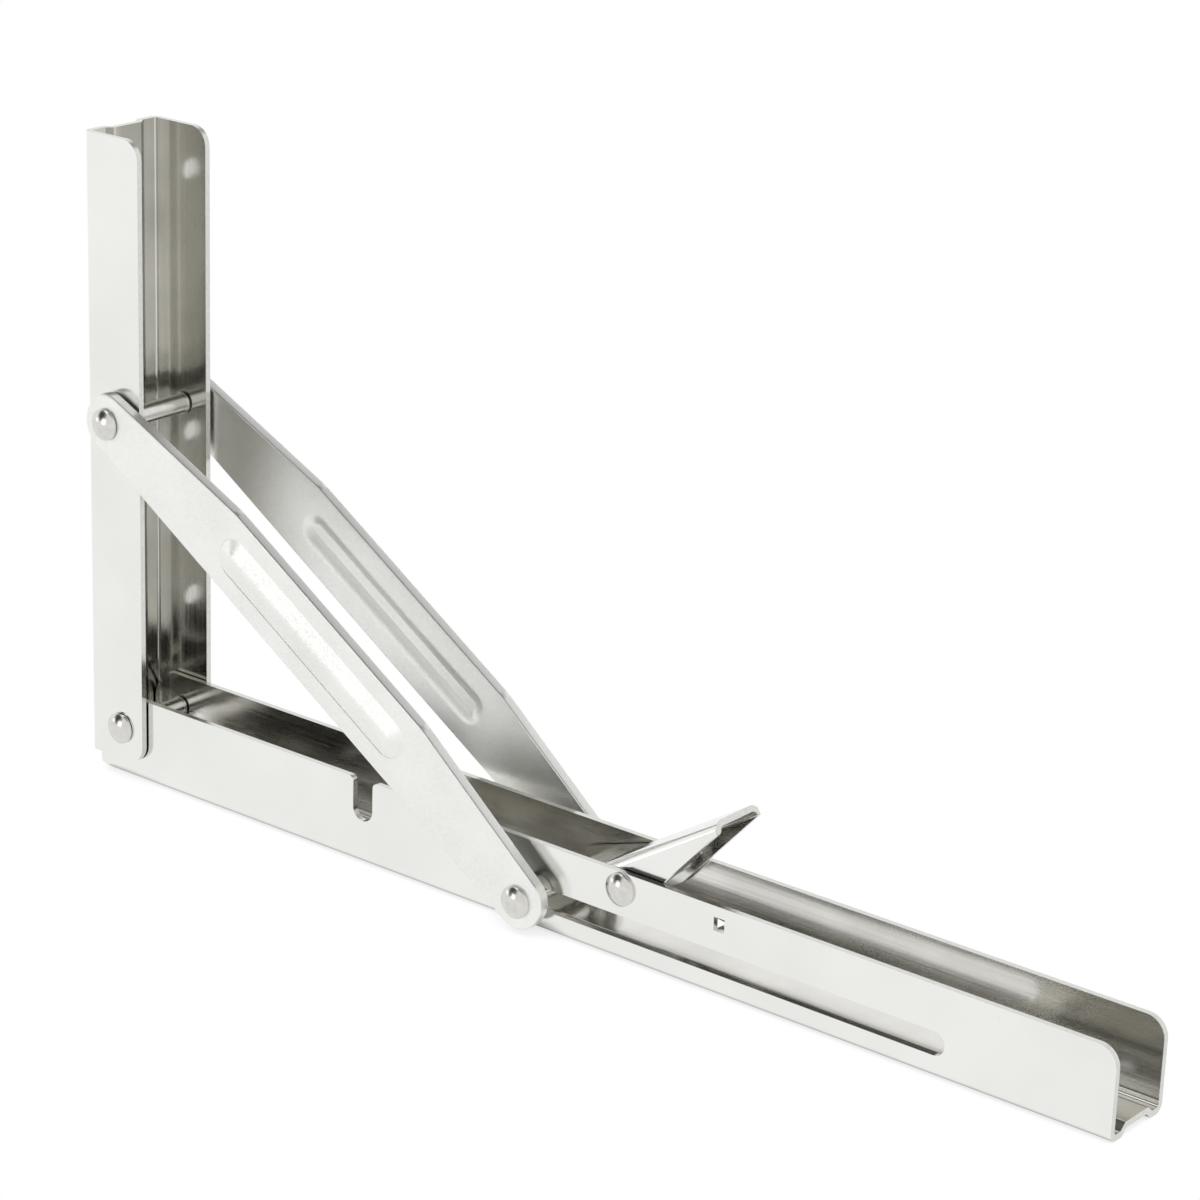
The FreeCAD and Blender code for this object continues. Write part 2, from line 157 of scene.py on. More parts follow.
class StrutSettings(bpy.types.PropertyGroup):
    """Sizes of the two ribbed struts."""

    plate: length_setting("Plate", "Thickness of the strut plate", 3.0)
    end_radius: length_setting("End radius", "Radius of the round ends", 6.8)
    corner_radius: length_setting("Corner radius", "Radius where an end meets the back", 6.1)
    back_width: length_setting("Back width", "Reach of the back from the pivot line", 13.0)
    shoulder: length_setting("Shoulder", "Distance from a pivot to the shoulder of the back", 44.0)
    shoulder_radius: length_setting("Shoulder radius", "Rounding of the shoulders", 14.0)
    hole_radius: length_setting("Hole radius", "Radius of the pivot holes", 2.5)
    rib_start: length_setting("Rib start", "Distance from the wall arm's pivot to the rib", 44.8)
    rib_length: length_setting("Rib length", "Length of the pressed rib", 69.5)
    rib_half_width: length_setting("Rib half width", "Half the rib's width on the outer face", 5.05)
    rib_crest: length_setting("Rib crest", "Half the width of the rib's rounded crest", 1.5)
    rib_height: length_setting("Rib height", "Height of the rib over the outer face", 1.1)
    groove_half_width: length_setting("Groove half width", "Half the groove's width", 4.85)
    groove_floor: length_setting("Groove floor", "Half the width of the groove's flat floor", 1.45)
    groove_depth: length_setting("Groove depth", "Depth of the groove behind the rib", 1.2)
    edge_round: length_setting("Edge rounding", "Width of the rounding on the outline", 0.42)


class RivetSettings(bpy.types.PropertyGroup):
    """Sizes of the rivets, the slide pin and its washers."""

    pin_radius: length_setting("Pin radius", "Radius of every pin and shank", 2.5)
    head_height: length_setting("Head height", "Height of a rivet head", 2.0)
    head_rim: length_setting("Head rim", "Straight part of a rivet head's side", 0.6)
    mark_radius: length_setting("Centre mark", "Radius of the riveting tool's mark", 0.6)
    mark_depth: length_setting("Mark depth", "Depth of that mark", 0.12)
    collar_radius: length_setting("Collar radius", "Radius of the collars on the pivot pins", 2.8)
    collar_width: length_setting("Collar width", "Width of those collars", 0.4)
    relief_radius: length_setting("Relief radius", "Radius of the groove beside a collar", 1.7)
    relief_width: length_setting("Relief width", "Width of that groove", 0.42)
    edge_round: length_setting("Edge rounding", "Width of the rounding on turned edges", 0.1)


class SpringSettings(bpy.types.PropertyGroup):
    """Sizes of the lever's torsion spring."""

    wire_radius: length_setting("Wire radius", "Half the wire's thickness", 0.5)
    coil_radius: length_setting("Coil radius", "Radius of the coil at the wire's middle", 3.6)
    coil_start: length_setting("Coil start", "First turn's distance from the middle plane", 6.0)
    coil_pitch: length_setting("Coil pitch", "Distance between two turns", 1.2)
    coil_turns: bpy.props.IntProperty(
        name="Coil turns", description="Number of whole turns", default=3, min=1
    )
    long_leg_dip: angle_setting("Long leg dip", "Slope of the leg that lies on the tab", 9.4)
    short_leg_lift: angle_setting("Short leg lift", "Slope of the leg under the lever", 46.0)
    long_leg: length_setting("Long leg", "Reach of the long leg along the arm", 29.6)
    short_leg: length_setting("Short leg", "Length of the short leg", 19.0)


class FinishSettings(bpy.types.PropertyGroup):
    """Colours of the steel finishes."""

    outside_pale: colour_setting("Outside pale", "Paler colour of the sheet's outside", "#F3F3F0")
    outside_deep: colour_setting("Outside deep", "Deeper colour of the sheet's outside", "#EBEBE7")
    # Painted shade: the inside colours are darker than the outside ones, standing for the shade inside
    # the channels and under the lever.
    inside_shade_pale: colour_setting("Inside pale", "Paler colour of the leaf arm's inside", "#E9E8E3")
    inside_shade_deep: colour_setting("Inside deep", "Deeper colour of the leaf arm's inside", "#D0CFCA")
    # Painted shade: the wall arm's inside colours are darker still, for the deep shade in its channel.
    wall_shade_pale: colour_setting("Wall pale", "Paler colour of the wall arm's inside", "#D7D6D0")
    wall_shade_deep: colour_setting("Wall deep", "Deeper colour of the wall arm's inside", "#C0BFB9")
    # Partly painted shade: the edges' grey draws a dark rim round each sheet, besides the torn metal's
    # duller tone.
    edge_pale: colour_setting("Edge pale", "Paler colour of sheared edges", "#E4E4E0")
    edge_deep: colour_setting("Edge deep", "Deeper colour of sheared edges", "#C9C9C5")
    strut_pale: colour_setting("Strut pale", "Paler colour of the blasted struts", "#FBFBF8")
    strut_deep: colour_setting("Strut deep", "Deeper colour of the blasted struts", "#F1F1ED")
    rivet_pale: colour_setting("Rivet pale", "Paler colour of the rivets", "#E6E5E0")
    rivet_deep: colour_setting("Rivet deep", "Deeper colour of the rivets", "#CFCEC9")
    wire_pale: colour_setting("Wire pale", "Paler colour of the spring wire", "#CBCAC6")
    wire_deep: colour_setting("Wire deep", "Deeper colour of the spring wire", "#A9A8A4")


class StageSettings(bpy.types.PropertyGroup):
    """Camera, floor and light."""

    azimuth: angle_setting("Azimuth", "Camera's turn to the right", 38.387)
    elevation: angle_setting("Elevation", "Camera's rise", 19.711)
    roll: angle_setting("Roll", "Camera's tilt", 2.001)
    distance: length_setting("Distance", "Camera to its target", 844.155)
    target: bpy.props.FloatVectorProperty(
        name="Target",
        description="Point that the camera looks at",
        default=(2.632 * MM, 0.0, 80.38 * MM),
        subtype="TRANSLATION",
    )
    lens: bpy.props.FloatProperty(
        name="Lens", description="Focal length on a 36 mm frame", default=112.15, unit="CAMERA"
    )
    key_power: bpy.props.FloatProperty(
        name="Key light", description="Power of the main soft light", default=1.1, unit="POWER"
    )
    floor_colour: colour_setting("Floor", "Colour of the paper floor", "#F2F2F0")


def add_node(tree, kind, settings=None, values=None, links=None):
    """Add one shader node with its settings, its socket values and its incoming links."""
    node = tree.nodes.new(kind)
    for name, value in (settings or {}).items():
        setattr(node, name, value)
    for name, value in (values or {}).items():
        node.inputs[name].default_value = value
    for name, socket in (links or {}).items():
        tree.links.new(socket, node.inputs[name])
    return node


def new_material(name):
    """An empty node material and its tree."""
    material = bpy.data.materials.new(name)
    material.use_nodes = True
    material.node_tree.nodes.clear()
    return material, material.node_tree


# Cold rolled stainless sheet keeps the rolls' fine lines along its length. The eye sees a pale soft
# mirror, drawn out along the lines, with faint clouds and a few scuffs from handling.
def rolled_stainless(name, pale, deep, smoothest, roughest, relief_strength, along):
    """Rolled sheet whose lines run along one axis: "x" or "z"."""
    material, tree = new_material(name)
    line_width = 0.5 * MM
    line_length = 45 * MM
    cloud_size = 22 * MM
    cloud_share = 0.6
    scuff_size = 2.2 * MM
    scuff_share = 0.5
    line_depth = 0.02 * MM
    lines = [1 / line_width] * 3
    lines["xyz".index(along)] = 1 / line_length
    place = add_node(tree, "ShaderNodeTexCoord")
    stretched = add_node(
        tree,
        "ShaderNodeMapping",
        values={"Scale": lines},
        links={"Vector": place.outputs["Object"]},
    )
    rolling = add_node(
        tree,
        "ShaderNodeTexNoise",
        values={"Scale": 1.0, "Detail": 3.0},
        links={"Vector": stretched.outputs["Vector"]},
    )
    clouds = add_node(
        tree,
        "ShaderNodeTexNoise",
        values={"Scale": 1 / cloud_size, "Detail": 4.0},
        links={"Vector": place.outputs["Object"]},
    )
    scuffs = add_node(
        tree,
        "ShaderNodeTexNoise",
        values={"Scale": 1 / scuff_size, "Detail": 2.0},
        links={"Vector": place.outputs["Object"]},
    )
    scuffed = add_node(
        tree,
        "ShaderNodeMapRange",
        values={"From Min": 0.70, "From Max": 0.78, "To Min": 0.0, "To Max": scuff_share},
        links={"Value": scuffs.outputs["Fac"]},
    )
    clouded = add_node(
        tree,
        "ShaderNodeMapRange",
        values={"From Min": 0.35, "From Max": 0.65, "To Min": 0.0, "To Max": cloud_share},
        links={"Value": clouds.outputs["Fac"]},
    )
    share = add_node(
        tree,
        "ShaderNodeMath",
        settings={"operation": "MAXIMUM"},
        links={0: clouded.outputs["Result"], 1: scuffed.outputs["Result"]},
    )
    colour = add_node(
        tree,
        "ShaderNodeMix",
        settings={"data_type": "RGBA"},
        values={COLOUR_A: pale, COLOUR_B: deep},
        links={SHARE: share.outputs["Value"]},
    )
    gloss = add_node(
        tree,
        "ShaderNodeMapRange",
        values={"From Min": 0.3, "From Max": 0.7, "To Min": smoothest, "To Max": roughest},
        links={"Value": rolling.outputs["Fac"]},
    )
    relief = add_node(
        tree,
        "ShaderNodeBump",
        values={"Strength": relief_strength, "Distance": line_depth},
        links={"Height": rolling.outputs["Fac"]},
    )
    shader = add_node(
        tree,
        "ShaderNodeBsdfPrincipled",
        values={"Metallic": 1.0},
        links={
            "Base Color": colour.outputs[MIXED_COLOUR],
            "Roughness": gloss.outputs["Result"],
            "Normal": relief.outputs["Normal"],
        },
    )
    add_node(tree, "ShaderNodeOutputMaterial", links={"Surface": shader.outputs["BSDF"]})
    return material


# Plain steel with one fine unevenness all over. A sheared edge is torn metal, duller than the faces,
# and its grey is partly painted shade, a fine dark rim round its sheet;
# tumbled rivets are small rippled mirrors; drawn wire is a darker streaked mirror.
def uneven_steel(name, pale, deep, roughness, grain, depth, strength):
    """Bare steel with an unevenness of a given grain size and depth."""
    material, tree = new_material(name)
    place = add_node(tree, "ShaderNodeTexCoord")
    unevenness = add_node(
        tree,
        "ShaderNodeTexNoise",
        values={"Scale": 1 / grain, "Detail": 3.0},
        links={"Vector": place.outputs["Object"]},
    )
    colour = add_node(
        tree,
        "ShaderNodeMix",
        settings={"data_type": "RGBA"},
        values={COLOUR_A: pale, COLOUR_B: deep},
        links={SHARE: unevenness.outputs["Fac"]},
    )
    relief = add_node(
        tree,
        "ShaderNodeBump",
        values={"Strength": strength, "Distance": depth},
        links={"Height": unevenness.outputs["Fac"]},
    )
    shader = add_node(
        tree,
        "ShaderNodeBsdfPrincipled",
        values={"Metallic": 1.0, "Roughness": roughness},
        links={"Base Color": colour.outputs[MIXED_COLOUR], "Normal": relief.outputs["Normal"]},
    )
    add_node(tree, "ShaderNodeOutputMaterial", links={"Surface": shader.outputs["BSDF"]})
    return material


# Bead blasted stainless plate is covered in tiny overlapping dents. The eye sees an even satin with a
# sparkle of grain; the real dents are about 0.1 mm, drawn here at 0.45 mm so that they show.
def blasted_stainless(name, pale, deep):
    """Blasted plate with a grain of dents and faint clouds."""
    material, tree = new_material(name)
    dent_size = 0.45 * MM
    dent_depth = 0.06 * MM
    cloud_size = 16 * MM
    smoothest = 0.34
    roughest = 0.46
    place = add_node(tree, "ShaderNodeTexCoord")
    dents = add_node(
        tree,
        "ShaderNodeTexNoise",
        values={"Scale": 1 / dent_size, "Detail": 2.0, "Roughness": 0.6},
        links={"Vector": place.outputs["Object"]},
    )
    clouds = add_node(
        tree,
        "ShaderNodeTexNoise",
        values={"Scale": 1 / cloud_size, "Detail": 3.0},
        links={"Vector": place.outputs["Object"]},
    )
    both = add_node(
        tree,
        "ShaderNodeMath",
        settings={"operation": "MULTIPLY"},
        links={0: dents.outputs["Fac"], 1: clouds.outputs["Fac"]},
    )
    share = add_node(
        tree,
        "ShaderNodeMapRange",
        values={"From Min": 0.12, "From Max": 0.40, "To Min": 0.0, "To Max": 1.0},
        links={"Value": both.outputs["Value"]},
    )
    colour = add_node(
        tree,
        "ShaderNodeMix",
        settings={"data_type": "RGBA"},
        values={COLOUR_A: pale, COLOUR_B: deep},
        links={SHARE: share.outputs["Result"]},
    )
    gloss = add_node(
        tree,
        "ShaderNodeMapRange",
        values={"From Min": 0.3, "From Max": 0.7, "To Min": smoothest, "To Max": roughest},
        links={"Value": dents.outputs["Fac"]},
    )
    relief = add_node(
        tree,
        "ShaderNodeBump",
        values={"Strength": 0.22, "Distance": dent_depth},
        links={"Height": dents.outputs["Fac"]},
    )
    shader = add_node(
        tree,
        "ShaderNodeBsdfPrincipled",
        values={"Metallic": 1.0},
        links={
            "Base Color": colour.outputs[MIXED_COLOUR],
            "Roughness": gloss.outputs["Result"],
            "Normal": relief.outputs["Normal"],
        },
    )
    add_node(tree, "ShaderNodeOutputMaterial", links={"Surface": shader.outputs["BSDF"]})
    return material


def rivet_finish(colours):
    """The finish shared by rivets, pin and washers."""
    return uneven_steel(
        "tumbled rivet steel",
        colours.rivet_pale,
        colours.rivet_deep,
        roughness=0.2,
        grain=1.6 * MM,
        depth=0.05 * MM,
        strength=0.10,
    )


def finished(shape, name, materials, node):
    """Make a worked shape into a smooth piece that stands for a frame node and moves with its body."""
    mesh = bpy.data.meshes.new(name)
    shape.to_mesh(mesh)
    shape.free()
    for material in materials:
        mesh.materials.append(material)
    mesh.shade_smooth()
    mesh.set_sharp_from_angle(angle=SHARP_ANGLE)
    piece = bpy.data.objects.new(name, mesh)
    bpy.context.scene.collection.objects.link(piece)
    weighting = piece.modifiers.new("Flat faces stay flat", "WEIGHTED_NORMAL")
    weighting.keep_sharp = True
    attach(piece, frame["nodes"][node]["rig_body"])
    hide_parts(node)


def welded_copy(node):
    """A frame node's shape, its triangles welded and its flat facets joined into whole faces."""
    shape = bmesh.new()
    shape.from_mesh(frame["nodes"][node].data)
    bmesh.ops.remove_doubles(shape, verts=shape.verts, dist=WELD)
    bmesh.ops.dissolve_limit(shape, angle_limit=FLAT_ANGLE, verts=shape.verts, edges=shape.edges)
    return shape


def sharp_edges(shape):
    """Every edge of a shape that stands out as a corner."""
    shape.normal_update()
    return [e for e in shape.edges if len(e.link_faces) == 2 and e.calc_face_angle() > SHARP_ANGLE]


def round_edges(shape, edges, width, segments):
    """Bevel some edges of a shape."""
    bmesh.ops.bevel(
        shape,
        geom=edges,
        offset=width,
        offset_type="OFFSET",
        affect="EDGES",
        segments=segments,
        profile=0.5,
        clamp_overlap=True,
        material=-1,
    )
    shape.normal_update()


def rounded_face(shape, corners):
    """A flat face through (x, y, radius) corners, each corner rounded; returns the face."""
    verts = [shape.verts.new((x, y, 0)) for x, y, _ in corners]
    shape.faces.new(verts)
    for i, (x, y, radius) in enumerate(corners):
        here = Vector((x, y))
        back = Vector(corners[i - 1][:2]) - here
        ahead = Vector(corners[(i + 1) % len(corners)][:2]) - here
        setback = radius / math.tan(back.angle(ahead) / 2)
        bmesh.ops.bevel(
            shape,
            geom=[verts[i]],
            offset=setback,
            offset_type="OFFSET",
            affect="VERTICES",
            segments=CORNER_STEPS,
            profile=0.5,
            clamp_overlap=False,
            material=-1,
        )
    shape.faces.ensure_lookup_table()
    face = shape.faces[-1]
    bmesh.ops.remove_doubles(shape, verts=face.verts, dist=WELD)
    shape.faces.ensure_lookup_table()
    return shape.faces[-1]


def turn_round(shape):
    """Spin a half profile, drawn in the XY plane, once round the Y axis and close it."""
    bmesh.ops.spin(
        shape,
        geom=shape.verts[:] + shape.edges[:],
        cent=(0, 0, 0),
        axis=ALONG_Y,
        angle=2 * math.pi,
        steps=TURNED_SIDES,
        use_merge=True,
    )
    bmesh.ops.remove_doubles(shape, verts=shape.verts, dist=WELD)
    bmesh.ops.recalc_face_normals(shape, faces=shape.faces)


def run_on(shape, vert, *points):
    """Extend a profile from one vertex through further points."""
    for x, y in points:
        made = bmesh.ops.extrude_vert_indiv(shape, verts=[vert])
        vert = made["verts"][0]
        vert.co = (x, y, 0)
    return vert


def rivet_head(shape, settings, radius, crown):
    """Half profile of a domed head with the riveting tool's mark in it; returns its lowest vertex."""
    rise = settings.head_height - settings.head_rim
    dome = (radius ** 2 + rise ** 2) / (2 * rise)
    middle = crown - dome
    from_angle = math.asin(settings.mark_radius / dome)
    to_angle = math.asin(radius / dome)
    floor = crown - settings.mark_depth
    floor_radius = 0.45 * settings.mark_radius
    start = shape.verts.new((0, floor, 0))
    lip = run_on(
        shape,
        start,
        (floor_radius, floor),
        (settings.mark_radius, middle + dome * math.cos(from_angle)),
    )
    arc = bmesh.ops.spin(
        shape,
        geom=[lip],
        cent=(0, middle, 0),
        axis=(0, 0, -1),
        angle=to_angle - from_angle,
        steps=DOME_STEPS,
    )
    rim = [item for item in arc["geom_last"] if isinstance(item, bmesh.types.BMVert)][0]
    face = crown - settings.head_height
    return run_on(shape, rim, (radius, face), (settings.pin_radius, face))


class BRACKET_OT_arms(bpy.types.Operator):
    """Round the sheared edges of the folded arms and lever and give each side its finish, the insides
    in darker colours as painted shade
    """

    bl_idname = "bracket.arms"
    bl_label = "Folded arms and lever"

    def execute(self, context):
        sizes = context.scene.bracket_sheet
        colours = context.scene.bracket_finish
        # The edges' grey is partly the torn metal's own tone and partly a painted dark rim.
        edge = uneven_steel(
            "sheared stainless edge",
            colours.edge_pale,
            colours.edge_deep,
            roughness=0.16,
            grain=0.8 * MM,
            depth=0.03 * MM,
            strength=0.05,
        )
        # Each piece's inside: two colours, darker than the outside as painted shade, the axis of its
        # lines and the strength of their relief.
        insides = {
            "leaf_arm": (colours.inside_shade_pale, colours.inside_shade_deep, "x", 0.03),
            "wall_arm": (colours.wall_shade_pale, colours.wall_shade_deep, "z", 0.03),
            "release_lever": (colours.inside_shade_pale, colours.inside_shade_deep, "x", 0.0),
        }
        finishes = {}
        for node, (inside_shade_pale, inside_shade_deep, along, inside_relief) in insides.items():
            outside = rolled_stainless(
                f"rolled stainless outside {node}",
                colours.outside_pale,
                colours.outside_deep,
                smoothest=0.14,
                roughest=0.18,
                relief_strength=0.015,
                along=along,
            )
            inside = rolled_stainless(
                f"rolled stainless inside {node}",
                inside_shade_pale,
                inside_shade_deep,
                smoothest=0.11,
                roughest=0.20,
                relief_strength=inside_relief,
                along=along,
            )
            finishes[node] = [outside, inside, edge]
        slope = sizes.lever_slope
        plate_run = Vector((math.cos(slope), 0, math.sin(slope)))
        plate_up = Vector((-math.sin(slope), 0, math.cos(slope)))
        lever_web = centre_of("lever_rivet") + plate_up * sizes.lever_rise
        # How each sheet is folded: a point on its web, the way into the channel and the way along it.
        folds = {
            "leaf_arm": (Vector((0, 0, 0)), Vector((0, 0, 1)), Vector((1, 0, 0))),
            "wall_arm": (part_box("wall_arm")[0], Vector((1, 0, 0)), Vector((0, 0, 1))),
            "release_lever": (lever_web, -plate_up, plate_run),
        }
        for node, (web, inward, run) in folds.items():
            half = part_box(node)[1].y
            shape = welded_copy(node)
            round_edges(shape, sharp_edges(shape), sizes.edge_round, EDGE_STEPS)
            # The faces inside a channel take the darker inside colours, which are painted shade.
            for face in shape.faces:
                face.material_index = self.side(face, web, inward, run, half, sizes.sheet)
            finished(shape, f"{node}_sheet", finishes[node], node)
        return {"FINISHED"}

    def side(self, face, web, inward, run, half, sheet):
        """Which finish a face of a folded channel has, by where it lies and where it faces."""
        flange_from = half - 1.2 * sheet
        flange_above = 2.5 * sheet
        web_within = half - 2 * sheet
        web_top = 1.4 * sheet
        skin_from = half - 0.75 * sheet
        facing_out = 0.8
        facing_along = 0.5
        facing_aside = 0.3
        facing_under = 0.2
        centre = face.calc_center_median()
        across = abs(centre.y)
        height = (centre - web).dot(inward)
        outward = face.normal.y * math.copysign(1, centre.y)
        upright = face.normal.dot(inward)
        if across > flange_from and height > flange_above:
            if abs(outward) < facing_out:
                return SHEARED
            return OUTSIDE if outward > 0 else INSIDE
        if abs(face.normal.dot(run)) > facing_along:
            return SHEARED
        if across < web_within and height > web_top and abs(upright) < facing_aside:
            return SHEARED
        on_skin = across > skin_from and outward > 0
        return OUTSIDE if upright < -facing_under or on_skin else INSIDE


class BRACKET_OT_struts(bpy.types.Operator):
    """Press the two ribbed struts from plate"""

    bl_idname = "bracket.struts"
    bl_label = "Struts"

    def execute(self, context):
        sizes = context.scene.bracket_strut
        colours = context.scene.bracket_finish
        finish = blasted_stainless(
            "blasted stainless plate", colours.strut_pale, colours.strut_deep
        )
        upper = centre_of("strut_pivot_rivet")
        for node, slide in (("near_strut", "near_slide_rivet"), ("far_strut", "far_slide_rivet")):
            lower = centre_of(slide)
            low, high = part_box(node)
            side = math.copysign(1, lower.y)
            inner = min(abs(low.y), abs(high.y))
            line = Vector((lower.x - upper.x, 0, lower.z - upper.z))
            span = line.length
            line.normalize()
            place = Matrix.Identity(4)
            place.col[0] = (*line, 0)
            place.col[1] = (-line.z, 0, line.x, 0)
            place.col[2] = (0, side, 0, 0)
            place.col[3] = (upper.x, side * inner, upper.z, 1)
            shape = self.pressed_plate(sizes, span)
            bmesh.ops.transform(shape, matrix=place, verts=shape.verts)
            bmesh.ops.recalc_face_normals(shape, faces=shape.faces)
            finished(shape, f"{node}_plate", [finish], node)
        return {"FINISHED"}

    def pressed_plate(self, sizes, span):
        """A strut laid flat along +X: inner face at height 0, the wall arm's pivot at the origin."""
        shape = bmesh.new()
        groove = self.groove_steps(sizes)
        rib = self.rib_steps(sizes)
        inner = self.plate_face(shape, sizes, span, 0.0, sizes.groove_half_width, groove)
        outer = self.plate_face(shape, sizes, span, sizes.plate, sizes.rib_half_width, rib)
        for low, high in zip(inner, outer):
            bmesh.ops.bridge_loops(shape, edges=low + high)
        bmesh.ops.recalc_face_normals(shape, faces=shape.faces)
        rims = [edge for rim in inner + outer for edge in rim]
        round_edges(shape, rims, sizes.edge_round, EDGE_STEPS)
        return shape

    def rib_steps(self, sizes):
        """Rings of the rib, as distance in and height: the die's line, the sides, the round crest."""
        half = sizes.rib_half_width
        crest = sizes.rib_crest
        slope = sizes.rib_height / (half - crest / 2)
        line_width = 0.12 * MM
        line_depth = 0.14 * MM
        steps = [(line_width, -line_depth), (half - crest, slope * (half - crest))]
        stop_short = 0.5
        for i in range(1, CREST_STEPS + 1):
            left = crest * (1 - i / (CREST_STEPS + stop_short))
            steps.append((half - left, sizes.rib_height - slope * left ** 2 / (2 * crest)))
        return steps

    def groove_steps(self, sizes):
        """Rings of the groove: sides that steepen towards a crisp flat floor."""
        run = sizes.groove_half_width - sizes.groove_floor
        crease = 0.15 * MM
        steepening = 1.8
        steps = []
        for i in range(1, GROOVE_STEPS + 1):
            share = i / GROOVE_STEPS
            steps.append((run * share, sizes.groove_depth * share ** steepening))
        steps.append((run + crease, sizes.groove_depth))
        return steps

    def plate_face(self, shape, sizes, span, height, rib_half_width, steps):
        """One face of the plate with its holes and its rib; returns the edges of its three rims."""
        end = sizes.end_radius
        back = sizes.back_width
        margin = 0.2 * MM
        outline = rounded_face(
            shape,
            [
                (-end, -end, end),
                (span + end, -end, end),
                (span + end, end, sizes.corner_radius),
                (span - sizes.shoulder, back, sizes.shoulder_radius),
                (sizes.shoulder, back, sizes.shoulder_radius),
                (-end, end, sizes.corner_radius),
            ],
        )
        rims = [list(outline.edges)]
        made = set(outline.verts)
        bmesh.ops.delete(shape, geom=[outline], context="FACES_ONLY")
        for along in (0, span):
            ring = bmesh.ops.create_circle(
                shape,
                segments=HOLE_SIDES,
                radius=sizes.hole_radius,
                matrix=Matrix.Translation((along, 0, 0)),
            )
            made.update(ring["verts"])
            rims.append(list({edge for vert in ring["verts"] for edge in vert.link_edges}))
        middle = (back - end) / 2
        half = rib_half_width + margin
        left = sizes.rib_start - margin
        right = sizes.rib_start + sizes.rib_length + margin
        rib = rounded_face(
            shape,
            [
                (left, middle - half, half),
                (right, middle - half, half),
                (right, middle + half, half),
                (left, middle + half, half),
            ],
        )
        made.update(rib.verts)
        around = [edge for rim in rims for edge in rim] + list(rib.edges)
        bmesh.ops.triangle_fill(shape, use_beauty=True, edges=around, normal=(0, 0, 1))
        inset = 0.0
        rise = 0.0
        for distance_in, level in [(0.0, 0.0)] + steps:
            ring = bmesh.ops.inset_region(
                shape,
                faces=[rib],
                thickness=margin + distance_in - inset,
                depth=level - rise,
                use_even_offset=True,
            )
            made.update(vert for face in ring["faces"] for vert in face.verts)
            inset = margin + distance_in
            rise = level
        bmesh.ops.translate(shape, vec=(0, 0, height), verts=list(made))
        return rims


class BRACKET_OT_rivets(bpy.types.Operator):
    """Turn the rivets that join the arms and struts and carry the lever"""

    bl_idname = "bracket.rivets"
    bl_label = "Rivets"

    def execute(self, context):
        sizes = context.scene.bracket_rivet
        finish = rivet_finish(context.scene.bracket_finish)
        collared = {
            "main_pivot_rivet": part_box("leaf_arm")[1].y - context.scene.bracket_sheet.sheet,
            "strut_pivot_rivet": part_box("wall_arm")[1].y - context.scene.bracket_sheet.sheet,
        }
        for node in (*collared, "lever_rivet", "near_slide_rivet", "far_slide_rivet"):
            low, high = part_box(node)
            radius = (high.x - low.x) / 2
            crown = max(abs(low.y), abs(high.y))
            start = min(abs(low.y), abs(high.y)) if low.y * high.y > 0 else 0.0
            shape = bmesh.new()
            shank = rivet_head(shape, sizes, radius, crown)
            if node in collared:
                flange = collared[node]
                outer = flange - sizes.relief_width
                inner = outer - sizes.collar_width
                shank = run_on(
                    shape,
                    shank,
                    (sizes.pin_radius, flange),
                    (sizes.relief_radius, flange),
                    (sizes.relief_radius, outer),
                    (sizes.collar_radius, outer),
                    (sizes.collar_radius, inner),
                    (sizes.pin_radius, inner),
                )
            shank = run_on(shape, shank, (sizes.pin_radius, start))
            if start:
                run_on(shape, shank, (0, start))
            turn_round(shape)
            if not start:
                half = shape.verts[:] + shape.edges[:] + shape.faces[:]
                bmesh.ops.mirror(shape, geom=half, axis="Y", merge_dist=WELD)
            elif low.y < 0:
                bmesh.ops.scale(shape, vec=(1, -1, 1), verts=shape.verts)
            bmesh.ops.recalc_face_normals(shape, faces=shape.faces)
            round_edges(shape, sharp_edges(shape), sizes.edge_round, EDGE_STEPS)
            middle = (low + high) / 2
            bmesh.ops.translate(shape, vec=(middle.x, 0, middle.z), verts=shape.verts)
            finished(shape, f"{node}_turned", [finish], node)
        return {"FINISHED"}


class BRACKET_OT_slide(bpy.types.Operator):
    """Turn the pin that runs in the slots, and its two washers"""

    bl_idname = "bracket.slide"
    bl_label = "Slide pin and washers"

    def execute(self, context):
        sizes = context.scene.bracket_rivet
        finish = rivet_finish(context.scene.bracket_finish)
        for node in ("slide_pin", "near_slide_washer", "far_slide_washer"):
            low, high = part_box(node)
            radius = (high.x - low.x) / 2
            bore = 0.0 if node == "slide_pin" else sizes.pin_radius
            shape = bmesh.new()
            start = shape.verts.new((bore, low.y, 0))
            last = run_on(shape, start, (radius, low.y), (radius, high.y), (bore, high.y))
            if bore:
                shape.edges.new((last, start))
            turn_round(shape)
            round_edges(shape, sharp_edges(shape), sizes.edge_round, PIN_EDGE_STEPS)
            middle = (low + high) / 2
            bmesh.ops.translate(shape, vec=(middle.x, 0, middle.z), verts=shape.verts)
            finished(shape, f"{node}_turned", [finish], node)
        return {"FINISHED"}


